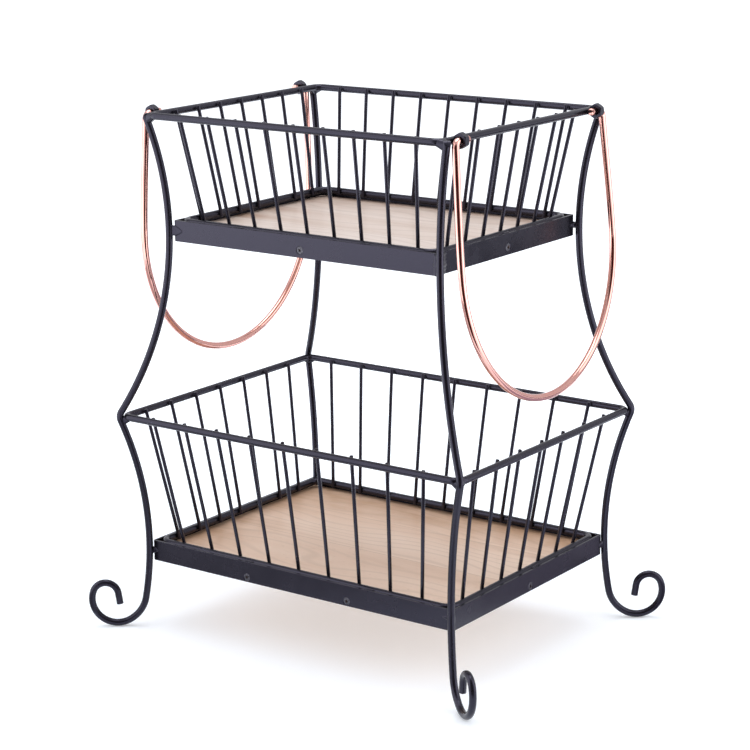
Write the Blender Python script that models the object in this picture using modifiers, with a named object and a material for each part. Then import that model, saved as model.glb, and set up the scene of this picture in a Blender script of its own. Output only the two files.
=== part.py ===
"""Two-tier storage basket.

Bent-rod legs with scroll feet carry two wire baskets, each on a flat band with a wooden board inside.
A copper-coloured handle swings in two nuts at either end of the upper rim.
Lengths are in metres. X runs along the long side, Y to the rear, Z up from the ground.
"""
import math

import bmesh
import bpy
from mathutils import Matrix, Vector

# Stock that the piece is bent from, and its fits
ROD_DIAMETER = 0.0055
WIRE_DIAMETER = 0.0028
HANDLE_DIAMETER = 0.0054
TOUCH_GAP = 0.0003
CUT_OVERRUN = 0.0010
MERGE_DISTANCE = 0.00001
ROD_END_BEVEL = 0.0005

# Rims, measured between the rod's centre lines
TOTAL_HEIGHT = 0.4050
RIM_CORNER_RADIUS = 0.0070
UPPER_RIM_LENGTH = 0.2616
UPPER_RIM_WIDTH = 0.2066
LOWER_RIM_LENGTH = 0.3102
LOWER_RIM_WIDTH = 0.2336
LOWER_RIM_HEIGHT = 0.1700

# Legs, drawn in the upright plane through the central axis
BOW_RADIUS = 0.2610
KINK_RADIUS = 0.0078
FOOT_REACH = 0.2045
FOOT_LEAD_RADIUS = 0.0260
FOOT_RADIUS = 0.0196
CURL_RADIUS = 0.0100
CURL_TAIL = 0.0087
FOOT_START_ANGLE = math.radians(-28)
CURL_START_ANGLE = math.radians(110)
CURL_END_ANGLE = math.radians(262)

# Flat bands at the foot of each tier
BAND_HEIGHT = 0.0160
BAND_THICKNESS = 0.0020
BAND_CORNER_RADIUS = 0.0022
BAND_INNER_RADIUS = 0.0002
UPPER_BAND_TOP = 0.3230
LOWER_BAND_TOP = 0.0696
UPPER_WELD_SPACE = 0.0016
LOWER_WELD_SPACE = 0.0010
UPPER_BAND_TURN = math.radians(0.4)
LOWER_BAND_TURN = math.radians(-0.8)

# Weld beads between leg and band
WELD_OVERLAP = 0.0010
WELD_HALF_WIDTH = 0.0072
WELD_HALF_HEIGHT = 0.0036

# Base rod and wires of each tier
BASE_ROD_RISE = 0.0015
BASE_ROD_CORNER_RADIUS = 0.0090
LONG_WIRES = 9
SHORT_WIRES = 7
WIRE_TOP_DROP = 0.0007
WIRE_FOOT_DROP = 0.0020
WIRE_WELD_DEPTH = 0.0005
UPPER_FRONT_SHIFT = 0.0010
UPPER_RIGHT_SHIFT = 0.0020
UPPER_REAR_SHIFT = -0.0012
UPPER_LEFT_SHIFT = 0.0005
LOWER_FRONT_SHIFT = -0.0035
LOWER_RIGHT_SHIFT = -0.0022
LOWER_REAR_SHIFT = 0.0025
LOWER_LEFT_SHIFT = 0.0062
UPPER_LONG_TOP_SHARE = 0.858
UPPER_LONG_FOOT_SHARE = 0.917
UPPER_SHORT_TOP_SHARE = 0.802
UPPER_SHORT_FOOT_SHARE = 0.878
LOWER_LONG_TOP_SHARE = 0.847
LOWER_LONG_FOOT_SHARE = 0.881
LOWER_SHORT_TOP_SHARE = 0.818
LOWER_SHORT_FOOT_SHARE = 0.849

# Boards and their screws
BOARD_THICKNESS = 0.0100
BOARD_DROP = 0.0004
BOARD_BEVEL = 0.0005
SCREW_HEAD_DIAMETER = 0.0058
SCREW_SHANK_DIAMETER = 0.0026
SCREW_HEAD_RIM = 0.0003
SCREW_HEAD_DEPTH = 0.0018
SCREW_LENGTH = 0.0140
SCREW_POINT = 0.0025
SCREW_SLOT_LENGTH = 0.0032
SCREW_SLOT_WIDTH = 0.0008
SCREW_SLOT_DEPTH = 0.0009
UPPER_SCREW_HEIGHT = 0.0056
LOWER_SCREW_HEIGHT = 0.0038
LOWER_SCREW_SHARE = 1 / 3

# Nuts and handles
NUT_ACROSS_FLATS = 0.0100
NUT_THICKNESS = 0.0052
NUT_CHAMFER = 0.0009
NUT_RISE = 0.0006
HANDLE_LEG_GAP = 0.0003
HANDLE_PLAY = 0.0005
HANDLE_STAND_OFF = 0.0023
HANDLE_STUB = 0.0053
HANDLE_FLARE = 0.0042
HANDLE_ARM = 0.0914
HANDLE_BOW_DEPTH = 0.1048
HANDLE_END_BEVEL = 0.0009
LEFT_HANDLE_SWING = math.radians(1.0)
RIGHT_HANDLE_SWING = math.radians(5.2)

# Steps that round shapes are drawn in
BOW_STEPS = 15
KINK_STEPS = 6
LEAD_STEPS = 5
FOOT_STEPS = 10
CURL_STEPS = 9
CORNER_STEPS = 4
HANDLE_BEND_STEPS = 4
HANDLE_BOW_STEPS = 26
SCREW_STEPS = 12
NUT_BORE_STEPS = 16
LEAN_PASSES = 8

SHARP_ANGLE = math.radians(50)

# Radii and offsets that follow from the stock
ROD_RADIUS = ROD_DIAMETER / 2
WIRE_RADIUS = WIRE_DIAMETER / 2
HANDLE_RADIUS = HANDLE_DIAMETER / 2
UPPER_RIM_Z = TOTAL_HEIGHT - ROD_RADIUS
ROD_TOUCH = ROD_DIAMETER + TOUCH_GAP
WIRE_TOUCH = ROD_RADIUS + WIRE_RADIUS + TOUCH_GAP
WIRE_FUSED = ROD_RADIUS + WIRE_RADIUS - WIRE_WELD_DEPTH

SIDES = {"front": (0, -1), "right": (1, 0), "rear": (0, 1), "left": (-1, 0)}
CORNERS = {"front_right": (1, -1), "rear_right": (1, 1), "rear_left": (-1, 1), "front_left": (-1, -1)}


def new_collection(name):
    """Make a collection under the scene."""
    collection = bpy.data.collections.new(name)
    bpy.context.scene.collection.children.link(collection)
    return collection


def new_material(name, colour, roughness, metallic):
    """Make a plain material in linear colour."""
    material = bpy.data.materials.new(name)
    material.use_nodes = True
    shader = material.node_tree.nodes["Principled BSDF"]
    shader.inputs["Base Color"].default_value = (*colour, 1)
    shader.inputs["Roughness"].default_value = roughness
    shader.inputs["Metallic"].default_value = metallic
    material.diffuse_color = (*colour, 1)
    return material


def add_object(name, mesh, material=None):
    """Put a mesh in the scene: a part where it has a material, otherwise a cutter."""
    item = bpy.data.objects.new(name, mesh)
    if material is None:
        cutters.objects.link(item)
        item.hide_render = True
        item.display_type = "WIRE"
    else:
        basket.objects.link(item)
        mesh.materials.append(material)
    return item


def bm_mesh(name, bm):
    """Turn a bmesh into a mesh."""
    mesh = bpy.data.meshes.new(name)
    bm.to_mesh(mesh)
    bm.free()
    return mesh


def rod_mesh(name, paths, radius, cyclic=False):
    """Sweep a round rod along each path of points and give one mesh with its ends closed."""
    curve = bpy.data.curves.new(name, "CURVE")
    curve.dimensions = "3D"
    curve.bevel_depth = radius
    curve.bevel_resolution = 2
    curve.use_fill_caps = True
    for path in paths:
        spline = curve.splines.new("POLY")
        spline.points.add(len(path) - 1)
        for point, place in zip(spline.points, path):
            point.co = (*place, 1)
        spline.use_cyclic_u = cyclic
    return curve_mesh(name, curve)


def curve_mesh(name, curve):
    """Turn a curve into a closed mesh, its caps welded on."""
    guide = bpy.data.objects.new(name + "_guide", curve)
    bpy.context.scene.collection.objects.link(guide)
    depsgraph = bpy.context.evaluated_depsgraph_get()
    mesh = bpy.data.meshes.new_from_object(guide.evaluated_get(depsgraph))
    bpy.data.objects.remove(guide)
    bm = bmesh.new()
    bm.from_mesh(mesh)
    bmesh.ops.remove_doubles(bm, verts=bm.verts, dist=MERGE_DISTANCE)
    bm.to_mesh(mesh)
    bm.free()
    mesh.name = name
    smooth(mesh)
    return mesh


def smooth(mesh):
    """Shade round faces smooth and keep the corners crisp."""
    mesh.shade_smooth()
    mesh.set_sharp_from_angle(angle=SHARP_ANGLE)


def cut(item, cutter, operation="DIFFERENCE"):
    """Cut one object with another, or join them."""
    boolean = item.modifiers.new(cutter.name, "BOOLEAN")
    boolean.operation = operation
    boolean.solver = "EXACT"
    boolean.object = cutter


def round_edges(item, width):
    """Bevel the sharp edges of an object."""
    bevel = item.modifiers.new("edges", "BEVEL")
    bevel.width = width
    bevel.segments = 1
    bevel.limit_method = "ANGLE"
    bevel.angle_limit = SHARP_ANGLE


def arc(centre, radius, start, end, steps):
    """Points on an arc in a plane, from one angle to another, both ends included."""
    points = []
    for step in range(steps + 1):
        angle = start + (end - start) * step / steps
        points.append(centre + radius * Vector((math.cos(angle), math.sin(angle))))
    return points


def tangent_arc(centre, radius, start, end, steps):
    """Corners of the straight runs that touch an arc, so that its ends are square to it."""
    turn = (end - start) / steps
    first, last = (centre + radius * Vector((math.cos(angle), math.sin(angle))) for angle in (start, end))
    outside = arc(centre, radius / math.cos(turn / 2), start + turn / 2, end - turn / 2, steps - 1)
    return [first] + outside + [last]


def bearing(vector):
    """Angle of a plane vector."""
    return math.atan2(vector.y, vector.x)


def circle_meet(first, first_radius, second, second_radius):
    """The meeting point of two circles that lies further along the first axis."""
    span = second - first
    distance = span.length
    along = (first_radius ** 2 - second_radius ** 2 + distance ** 2) / (2 * distance)
    across = math.sqrt(first_radius ** 2 - along ** 2)
    direction = span / distance
    normal = Vector((-direction.y, direction.x))
    if normal.x < 0:
        normal = -normal
    return first + along * direction + across * normal


def ray_reach(direction, centre, radius):
    """Distance from the origin at which a ray leaves a circle."""
    along = direction.dot(centre)
    return along + math.sqrt(radius ** 2 - centre.length_squared + along ** 2)


def corner_centre(length, width, radius):
    """Centre of a rounded rectangle's corner arc."""
    return Vector((length / 2 - radius, width / 2 - radius))


def rounded_rectangle(length, width, radius):
    """Points round a rectangle with rounded corners."""
    centre = corner_centre(length, width, radius)
    points = []
    for quarter, (x, y) in enumerate(((1, 1), (-1, 1), (-1, -1), (1, -1))):
        start = quarter * math.pi / 2
        middle = Vector((centre.x * x, centre.y * y))
        points += arc(middle, radius, start, start + math.pi / 2, CORNER_STEPS)
    return points


def leg_layout():
    """Work out the leg's arcs from the rims and the foot, as centres and angles in its plane."""
    upper = corner_centre(UPPER_RIM_LENGTH, UPPER_RIM_WIDTH, RIM_CORNER_RADIUS)
    lower = corner_centre(LOWER_RIM_LENGTH, LOWER_RIM_WIDTH, RIM_CORNER_RADIUS)
    turn = bearing(upper + lower)
    direction = Vector((math.cos(turn), math.sin(turn)))
    kink_reach = ray_reach(direction, lower, RIM_CORNER_RADIUS + ROD_TOUCH)
    kink = Vector((kink_reach - KINK_RADIUS, LOWER_RIM_HEIGHT))
    lean = 0
    for _ in range(LEAN_PASSES):
        reach = ray_reach(direction, upper, RIM_CORNER_RADIUS + ROD_TOUCH / math.cos(lean))
        top = Vector((reach, UPPER_RIM_Z))
        upper_bow = circle_meet(top, BOW_RADIUS, kink, BOW_RADIUS + KINK_RADIUS)
        lean = math.asin((top.y - upper_bow.y) / BOW_RADIUS)
    foot = Vector((FOOT_REACH, ROD_RADIUS + FOOT_RADIUS))
    lead_normal = Vector((-math.sin(FOOT_START_ANGLE), math.cos(FOOT_START_ANGLE)))
    lead = foot + (FOOT_LEAD_RADIUS - FOOT_RADIUS) * lead_normal
    lower_bow = circle_meet(kink, BOW_RADIUS + KINK_RADIUS, lead, BOW_RADIUS - FOOT_LEAD_RADIUS)
    curl_normal = Vector((-math.sin(CURL_START_ANGLE), math.cos(CURL_START_ANGLE)))
    curl = foot + (CURL_RADIUS - FOOT_RADIUS) * curl_normal
    return {
        "turn": turn, "top": top, "kink": kink, "upper_bow": upper_bow,
        "lower_bow": lower_bow, "lead": lead, "foot": foot, "curl": curl,
    }


def leg_path():
    """The leg's centre line from past its top end to the tip of the curl."""
    quarter = math.pi / 2
    full = 2 * math.pi
    top_angle = bearing(layout["top"] - layout["upper_bow"])
    spare = (ROD_DIAMETER + CUT_OVERRUN) / BOW_RADIUS
    kink_from = bearing(layout["upper_bow"] - layout["kink"])
    kink_to = bearing(layout["lower_bow"] - layout["kink"])
    lead_from = bearing(layout["lead"] - layout["lower_bow"]) % full
    foot_from = FOOT_START_ANGLE - quarter + full
    path = arc(layout["upper_bow"], BOW_RADIUS, top_angle - spare, kink_from + math.pi, BOW_STEPS)
    path += arc(layout["kink"], KINK_RADIUS, kink_from, kink_to, KINK_STEPS)[1:]
    path += arc(layout["lower_bow"], BOW_RADIUS, kink_to + math.pi, lead_from, BOW_STEPS)[1:]
    path += arc(layout["lead"], FOOT_LEAD_RADIUS, lead_from, foot_from, LEAD_STEPS)[1:]
    path += arc(layout["foot"], FOOT_RADIUS, foot_from, full - quarter, KINK_STEPS // 2)[1:]
    path += arc(layout["foot"], FOOT_RADIUS, -quarter, CURL_START_ANGLE - quarter, FOOT_STEPS)[1:]
    curl_from = CURL_START_ANGLE - quarter
    curl_to = CURL_END_ANGLE - quarter
    path += arc(layout["curl"], CURL_RADIUS, curl_from, curl_to, CURL_STEPS)[1:]
    tail = Vector((math.cos(CURL_END_ANGLE), math.sin(CURL_END_ANGLE)))
    path.append(path[-1] + CURL_TAIL * tail)
    return path


def leg_reach(height):
    """Distance of a bow's centre line from the central axis at a height."""
    bow = layout["upper_bow"] if height > LOWER_RIM_HEIGHT else layout["lower_bow"]
    return bow.x - math.sqrt(BOW_RADIUS ** 2 - (height - bow.y) ** 2)


def add_legs():
    """Four legs, each turned to its corner and cut level with the upper rim."""
    path = [(point.x, 0, point.y) for point in leg_path()]
    for name, (x, y) in CORNERS.items():
        leg = add_object("leg_" + name, rod_mesh("leg_" + name, [path], ROD_RADIUS), black)
        leg.rotation_euler.z = math.atan2(y * math.sin(layout["turn"]), x * math.cos(layout["turn"]))
        cut(leg, leg_top_cutter)
        round_edges(leg, ROD_END_BEVEL)


def add_top_cutter():
    """A slab that takes off everything above the upper rim."""
    bm = bmesh.new()
    bmesh.ops.create_cube(bm, size=1)
    slab = 2 * (ROD_DIAMETER + CUT_OVERRUN)
    size = Vector((UPPER_RIM_LENGTH + UPPER_RIM_WIDTH, UPPER_RIM_LENGTH + UPPER_RIM_WIDTH, slab))
    bmesh.ops.scale(bm, vec=size, verts=bm.verts)
    bmesh.ops.translate(bm, vec=(0, 0, TOTAL_HEIGHT + slab / 2), verts=bm.verts)
    return add_object("leg_top_cut", bm_mesh("leg_top_cut", bm))


def add_rim(name, length, width, height):
    """A closed rod rectangle."""
    path = [(point.x, point.y, height) for point in rounded_rectangle(length, width, RIM_CORNER_RADIUS)]
    add_object(name, rod_mesh(name, [path], ROD_RADIUS, cyclic=True), black)


def tier_layout(band_top, space, turn):
    """Outer size of a band whose corners stand a weld's space inside the legs."""
    reach = leg_reach(band_top - BAND_HEIGHT / 2)
    leg_turn = layout["turn"]
    leg_point = reach * Vector((math.cos(leg_turn), math.sin(leg_turn)))
    direction = Vector((math.cos(leg_turn + turn), math.sin(leg_turn + turn)))
    touch = ROD_RADIUS + space + BAND_CORNER_RADIUS
    along = leg_point.dot(direction)
    corner = (along - math.sqrt(touch ** 2 - leg_point.length_squared + along ** 2)) * direction
    return {
        "corner": corner,
        "leg_point": leg_point,
        "length": 2 * (corner.x + BAND_CORNER_RADIUS),
        "width": 2 * (corner.y + BAND_CORNER_RADIUS),
        "top": band_top,
        "bottom": band_top - BAND_HEIGHT,
    }


def outline_mesh(name, outlines, thickness):
    """Fill flat outlines, an inner one being a hole, and give them a thickness."""
    curve = bpy.data.curves.new(name, "CURVE")
    curve.dimensions = "2D"
    curve.fill_mode = "BOTH"
    curve.extrude = thickness / 2
    for outline in outlines:
        spline = curve.splines.new("POLY")
        spline.points.add(len(outline) - 1)
        for point, place in zip(spline.points, outline):
            point.co = (place.x, place.y, 0, 1)
        spline.use_cyclic_u = True
    return curve_mesh(name, curve)


def add_band(name, tier):
    """Flat bar on edge round the foot of a tier."""
    outer = rounded_rectangle(tier["length"], tier["width"], BAND_CORNER_RADIUS)
    inner_length = tier["length"] - 2 * BAND_THICKNESS
    inner_width = tier["width"] - 2 * BAND_THICKNESS
    inner = rounded_rectangle(inner_length, inner_width, BAND_INNER_RADIUS)
    band = add_object(name, outline_mesh(name, [outer, inner], BAND_HEIGHT), black)
    band.location.z = tier["top"] - BAND_HEIGHT / 2
    return band


def add_board(name, tier):
    """Wooden board inside a band."""
    fit = 2 * (BAND_THICKNESS + TOUCH_GAP)
    bm = bmesh.new()
    bmesh.ops.create_cube(bm, size=1)
    size = Vector((tier["length"] - fit, tier["width"] - fit, BOARD_THICKNESS))
    bmesh.ops.scale(bm, vec=size, verts=bm.verts)
    board = add_object(name, bm_mesh(name, bm), tier["wood"])
    board.location.z = tier["bottom"] - BOARD_DROP + BOARD_THICKNESS / 2
    round_edges(board, BOARD_BEVEL)
    return board


def add_weld(name, tier, corner):
    """Weld bead between a leg and a band's corner: a rounded lump that is cut to both."""
    x, y = CORNERS[corner]
    centre = tier["corner"]
    reach = (tier["leg_point"] - centre).length - ROD_RADIUS + WELD_OVERLAP
    bm = bmesh.new()
    bmesh.ops.create_uvsphere(bm, u_segments=14, v_segments=8, radius=1)
    bmesh.ops.scale(bm, vec=(reach, WELD_HALF_WIDTH, WELD_HALF_HEIGHT), verts=bm.verts)
    mesh = bm_mesh(name, bm)
    smooth(mesh)
    bead = add_object(name, mesh, black)
    bead.location = (x * centre.x, y * centre.y, tier["top"] - BAND_HEIGHT / 2)
    bead.rotation_euler.z = math.atan2(y * centre.y, x * centre.x)
    cut(bead, tier["band_space"])
    cut(bead, tier["leg_space"][corner])


def add_band_space(name, tier):
    """Block of the band's outer shape plus a touch gap, that clears the weld beads."""
    length = tier["length"] + 2 * TOUCH_GAP
    width = tier["width"] + 2 * TOUCH_GAP
    outline = rounded_rectangle(length, width, BAND_CORNER_RADIUS + TOUCH_GAP)
    space = add_object(name, outline_mesh(name, [outline], BAND_HEIGHT + 2 * CUT_OVERRUN))
    space.location.z = tier["top"] - BAND_HEIGHT / 2
    return space


def add_leg_spaces(name, tier):
    """Rods of the legs' shape plus a touch gap, that clear the weld beads at each corner."""
    top = tier["top"] + CUT_OVERRUN
    bottom = tier["bottom"] - CUT_OVERRUN
    heights = [bottom + (top - bottom) * step / CORNER_STEPS for step in range(CORNER_STEPS + 1)]
    path = [(leg_reach(height), 0, height) for height in heights]
    spaces = {}
    for corner, (x, y) in CORNERS.items():
        mesh = rod_mesh(name + "_" + corner, [path], ROD_RADIUS + TOUCH_GAP)
        space = add_object(name + "_" + corner, mesh)
        turn = layout["turn"]
        space.rotation_euler.z = math.atan2(y * math.sin(turn), x * math.cos(turn))
        spaces[corner] = space
    return spaces


def side_point(side, along, out, height):
    """A point given along and out from one side of the basket."""
    x, y = SIDES[side]
    return (out * x - along * y, out * y + along * x, height)


def base_rod_path(side, half_along, half_out, height):
    """One side's length of the base rod, from mid-corner to mid-corner."""
    radius = BASE_ROD_CORNER_RADIUS
    centre = Vector((half_along - radius, half_out - radius))
    end = math.pi / 4 + TOUCH_GAP / 2 / radius
    corner = tangent_arc(centre, radius, end, math.pi / 2, CORNER_STEPS // 2)
    points = corner + [Vector((-point.x, point.y)) for point in reversed(corner)]
    return [side_point(side, point.x, point.y, height) for point in points]


def wire_line(rim_out, rim_height, rod_out, rod_height):
    """Line that touches the rim and sinks into the base rod, both on its outer side: a point and its slope."""
    span = Vector((rim_out - rod_out, rim_height - rod_height))
    lean = math.asin((WIRE_FUSED - WIRE_TOUCH) / span.length)
    along = bearing(span) - lean
    direction = Vector((math.cos(along), math.sin(along)))
    normal = Vector((-direction.y, direction.x))
    start = Vector((rod_out, rod_height)) + WIRE_FUSED * normal
    return start, direction.x / direction.y


def wire_paths(side, tier, half_along, half_out, rim_along, rim_out, count, shares):
    """Centre lines of one side's wires, the row set a little off the middle as it was spaced by hand."""
    top_share, foot_share = shares
    shift = tier["shifts"][side]
    start, slope = wire_line(rim_out, tier["rim_height"], half_out, tier["rod_height"])
    foot_height = tier["rod_height"] - WIRE_FOOT_DROP
    top_height = tier["rim_height"] + ROD_RADIUS - WIRE_TOP_DROP
    foot_out = start.x + slope * (foot_height - start.y)
    top_out = start.x + slope * (top_height - start.y)
    foot_half = (half_along - BASE_ROD_CORNER_RADIUS) * foot_share
    top_half = (rim_along - RIM_CORNER_RADIUS) * top_share
    paths = []
    for index in range(count):
        place = 2 * index / (count - 1) - 1
        foot = side_point(side, place * foot_half + shift, foot_out, foot_height)
        top = side_point(side, place * top_half + shift, top_out, top_height)
        paths.append([foot, top])
    return paths


def add_wire_side(name, side, tier):
    """One side of a wire basket: its length of base rod with the wires joined to it."""
    inset = BAND_THICKNESS + TOUCH_GAP + ROD_RADIUS
    half_x = tier["length"] / 2 - inset
    half_y = tier["width"] / 2 - inset
    rim_x = tier["rim_length"] / 2
    rim_y = tier["rim_width"] / 2
    if side in ("front", "rear"):
        sizes = (half_x, half_y, rim_x, rim_y, LONG_WIRES, tier["long_shares"])
    else:
        sizes = (half_y, half_x, rim_y, rim_x, SHORT_WIRES, tier["short_shares"])
    rod = base_rod_path(side, sizes[0], sizes[1], tier["rod_height"])
    panel = add_object(name, rod_mesh(name, [rod], ROD_RADIUS), black)
    wires = rod_mesh(name + "_wires", wire_paths(side, tier, *sizes), WIRE_RADIUS)
    cut(panel, add_object(name + "_wires", wires), "UNION")


def turned_mesh(name, profile, steps):
    """Turn a profile of radius and height about the local Z axis."""
    bm = bmesh.new()
    verts = [bm.verts.new((radius, 0, height)) for radius, height in profile]
    for first, second in zip(verts, verts[1:]):
        bm.edges.new((first, second))
    guide = add_object(name + "_profile", bm_mesh(name, bm))
    screw = guide.modifiers.new("turn", "SCREW")
    screw.steps = steps
    screw.render_steps = steps
    screw.use_merge_vertices = True
    screw.merge_threshold = MERGE_DISTANCE
    depsgraph = bpy.context.evaluated_depsgraph_get()
    mesh = bpy.data.meshes.new_from_object(guide.evaluated_get(depsgraph))
    bpy.data.objects.remove(guide)
    mesh.name = name
    smooth(mesh)
    return mesh


def screw_profile(grow, above):
    """Outline of a countersunk screw, top to bottom, grown for its hole where need be."""
    head = SCREW_HEAD_DIAMETER / 2 + grow
    shank = SCREW_SHANK_DIAMETER / 2 + grow
    return [
        (0, above),
        (head, above),
        (head, -SCREW_HEAD_RIM),
        (shank, -SCREW_HEAD_DEPTH),
        (shank, SCREW_POINT - SCREW_LENGTH),
        (0, -SCREW_LENGTH - grow),
    ]


def add_screw_slot(name):
    """Cross recess that is cut into a screw's head."""
    long = SCREW_SLOT_LENGTH / 2
    short = SCREW_SLOT_WIDTH / 2
    outline = []
    for quarter in range(4):
        turn = Matrix.Rotation(quarter * math.pi / 2, 2)
        outline += [turn @ Vector(place) for place in ((long, -short), (long, short), (short, short))]
    return add_object(name, outline_mesh(name, [outline], 2 * SCREW_SLOT_DEPTH))


def add_screw(name, side, tier, place, band, board):
    """Screw through a band into the board's edge, with its hole in both."""
    out = (tier["width"] if side in ("front", "rear") else tier["length"]) / 2
    location = side_point(side, place, out, tier["bottom"] + tier["screw_height"])
    x, y = SIDES[side]
    turn = Vector((x, y, 0)).to_track_quat("Z", "Y").to_euler()
    screw = add_object(name, turned_mesh(name, screw_profile(0, 0), SCREW_STEPS), steel)
    slot = add_screw_slot(name + "_slot")
    hole_outline = screw_profile(TOUCH_GAP, CUT_OVERRUN)
    hole = add_object(name + "_hole", turned_mesh(name + "_hole", hole_outline, SCREW_STEPS))
    for item in (screw, slot, hole):
        item.location = location
        item.rotation_euler = turn
    cut(screw, slot)
    cut(band, hole)
    cut(board, hole)


def add_tier(tier_name, tier):
    """Band, board, screws, weld beads and wire sides of one tier."""
    band = add_band(tier_name + "_band", tier)
    board = add_board(tier_name + "_board", tier)
    for name, side, place in tier["screws"]:
        add_screw(tier_name + "_screw_" + name, side, tier, place, band, board)
    tier["band_space"] = add_band_space(tier_name + "_band_space", tier)
    tier["leg_space"] = add_leg_spaces(tier_name + "_leg_space", tier)
    for corner in CORNERS:
        add_weld(tier_name + "_weld_" + corner, tier, corner)
    for side in SIDES:
        add_wire_side(tier_name + "_wires_" + side, side, tier)


def upper_tier():
    """The smaller basket at the top."""
    tier = tier_layout(UPPER_BAND_TOP, UPPER_WELD_SPACE, UPPER_BAND_TURN)
    tier["rod_height"] = tier["top"] + BASE_ROD_RISE - ROD_RADIUS
    tier["rim_height"] = UPPER_RIM_Z
    tier["rim_length"] = UPPER_RIM_LENGTH
    tier["rim_width"] = UPPER_RIM_WIDTH
    tier["long_shares"] = (UPPER_LONG_TOP_SHARE, UPPER_LONG_FOOT_SHARE)
    tier["short_shares"] = (UPPER_SHORT_TOP_SHARE, UPPER_SHORT_FOOT_SHARE)
    tier["shifts"] = {
        "front": UPPER_FRONT_SHIFT, "right": UPPER_RIGHT_SHIFT,
        "rear": UPPER_REAR_SHIFT, "left": UPPER_LEFT_SHIFT,
    }
    tier["screw_height"] = UPPER_SCREW_HEIGHT
    tier["screws"] = [(side, side, 0) for side in SIDES]
    tier["wood"] = pale_wood
    return tier


def lower_tier():
    """The larger basket near the ground."""
    tier = tier_layout(LOWER_BAND_TOP, LOWER_WELD_SPACE, LOWER_BAND_TURN)
    tier["rod_height"] = tier["top"] + BASE_ROD_RISE - ROD_RADIUS
    tier["rim_height"] = LOWER_RIM_HEIGHT
    tier["rim_length"] = LOWER_RIM_LENGTH
    tier["rim_width"] = LOWER_RIM_WIDTH
    tier["long_shares"] = (LOWER_LONG_TOP_SHARE, LOWER_LONG_FOOT_SHARE)
    tier["short_shares"] = (LOWER_SHORT_TOP_SHARE, LOWER_SHORT_FOOT_SHARE)
    tier["shifts"] = {
        "front": LOWER_FRONT_SHIFT, "right": LOWER_RIGHT_SHIFT,
        "rear": LOWER_REAR_SHIFT, "left": LOWER_LEFT_SHIFT,
    }
    tier["screw_height"] = LOWER_SCREW_HEIGHT
    third = LOWER_SCREW_SHARE * tier["length"] / 2
    tier["screws"] = [
        ("front_left", "front", -third), ("front_right", "front", third),
        ("rear_right", "rear", -third), ("rear_left", "rear", third),
        ("right", "right", 0), ("left", "left", 0),
    ]
    tier["wood"] = tan_wood
    return tier


def nut_place():
    """Distance of the nut's axis from the middle, its height, and its outer face, which stands back from the
    handle's arm where that clears the leg."""
    out = UPPER_RIM_LENGTH / 2 + ROD_RADIUS + TOUCH_GAP + NUT_ACROSS_FLATS / 2
    leg_x = layout["top"].x * math.cos(layout["turn"])
    leg_y = layout["top"].x * math.sin(layout["turn"])
    apart = HANDLE_RADIUS + ROD_RADIUS + HANDLE_LEG_GAP
    arm_y = leg_y - math.sqrt(max(apart ** 2 - (out - leg_x) ** 2, 0))
    return out, UPPER_RIM_Z + NUT_RISE, arm_y - HANDLE_RADIUS - HANDLE_STAND_OFF


def nut_mesh(name):
    """Hexagon prism about the local Z axis, two flats facing along X."""
    bm = bmesh.new()
    corner_radius = NUT_ACROSS_FLATS / 2 / math.cos(math.pi / 6)
    bmesh.ops.create_cone(
        bm, cap_ends=True, segments=6, radius1=corner_radius, radius2=corner_radius, depth=NUT_THICKNESS,
    )
    return bm_mesh(name, bm)


def add_nut(name, x, y):
    """Nut on the rim's short side with chamfered corners and a loose bore for the handle."""
    out, height, face = nut_place()
    half = NUT_THICKNESS / 2
    corner_radius = NUT_ACROSS_FLATS / 2 / math.cos(math.pi / 6)
    bore_radius = HANDLE_RADIUS + HANDLE_PLAY
    wide = corner_radius + CUT_OVERRUN
    slope = (wide - corner_radius + NUT_CHAMFER) / 2
    chamfer = [
        (0, half), (corner_radius - NUT_CHAMFER, half), (wide, half - slope),
        (wide, slope - half), (corner_radius - NUT_CHAMFER, -half), (0, -half),
    ]
    bore = [(0, half + CUT_OVERRUN), (bore_radius, half + CUT_OVERRUN)]
    bore += [(bore_radius, -half - CUT_OVERRUN), (0, -half - CUT_OVERRUN)]
    nut = add_object(name, nut_mesh(name), black)
    shaper = add_object(name + "_chamfer", turned_mesh(name + "_chamfer", chamfer, 2 * NUT_BORE_STEPS))
    drill = add_object(name + "_bore", turned_mesh(name + "_bore", bore, NUT_BORE_STEPS))
    for item in (nut, shaper, drill):
        item.location = (x * out, y * (face - half), height)
        item.rotation_euler.x = math.pi / 2
    cut(nut, shaper, "INTERSECT")
    cut(nut, drill)


def handle_path():
    """Half of a handle's centre line hanging from its axis: the stub, the bend, the arm and the bow."""
    _, _, face = nut_place()
    arm_y = face + HANDLE_STAND_OFF + HANDLE_RADIUS
    stub_y = face - NUT_THICKNESS - HANDLE_STUB
    widest = arm_y + HANDLE_FLARE
    bend_radius = arm_y - face
    bend = Vector((face, -bend_radius))
    path = [Vector((stub_y, 0))]
    path += arc(bend, bend_radius, math.pi / 2, 0, HANDLE_BEND_STEPS)
    for step in range(HANDLE_BOW_STEPS // 2 + 1):
        angle = math.pi * step / HANDLE_BOW_STEPS
        path.append(Vector((widest * math.cos(angle), -HANDLE_ARM - HANDLE_BOW_DEPTH * math.sin(angle))))
    return path


def add_handle(name, x, swing):
    """Handle that turns about the nuts' axis, hanging at its swing outward from upright."""
    half = [(0, point.x, point.y) for point in handle_path()]
    path = half + [(0, -y, z) for _, y, z in reversed(half[:-1])]
    handle = add_object(name, rod_mesh(name, [path], HANDLE_RADIUS), copper)
    out, height, _ = nut_place()
    handle.location = (x * out, 0, height)
    handle.rotation_euler.y = -x * swing
    round_edges(handle, HANDLE_END_BEVEL)


for item in list(bpy.data.objects):
    bpy.data.objects.remove(item)

basket = new_collection("storage_basket")
cutters = new_collection("cutters")

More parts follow.
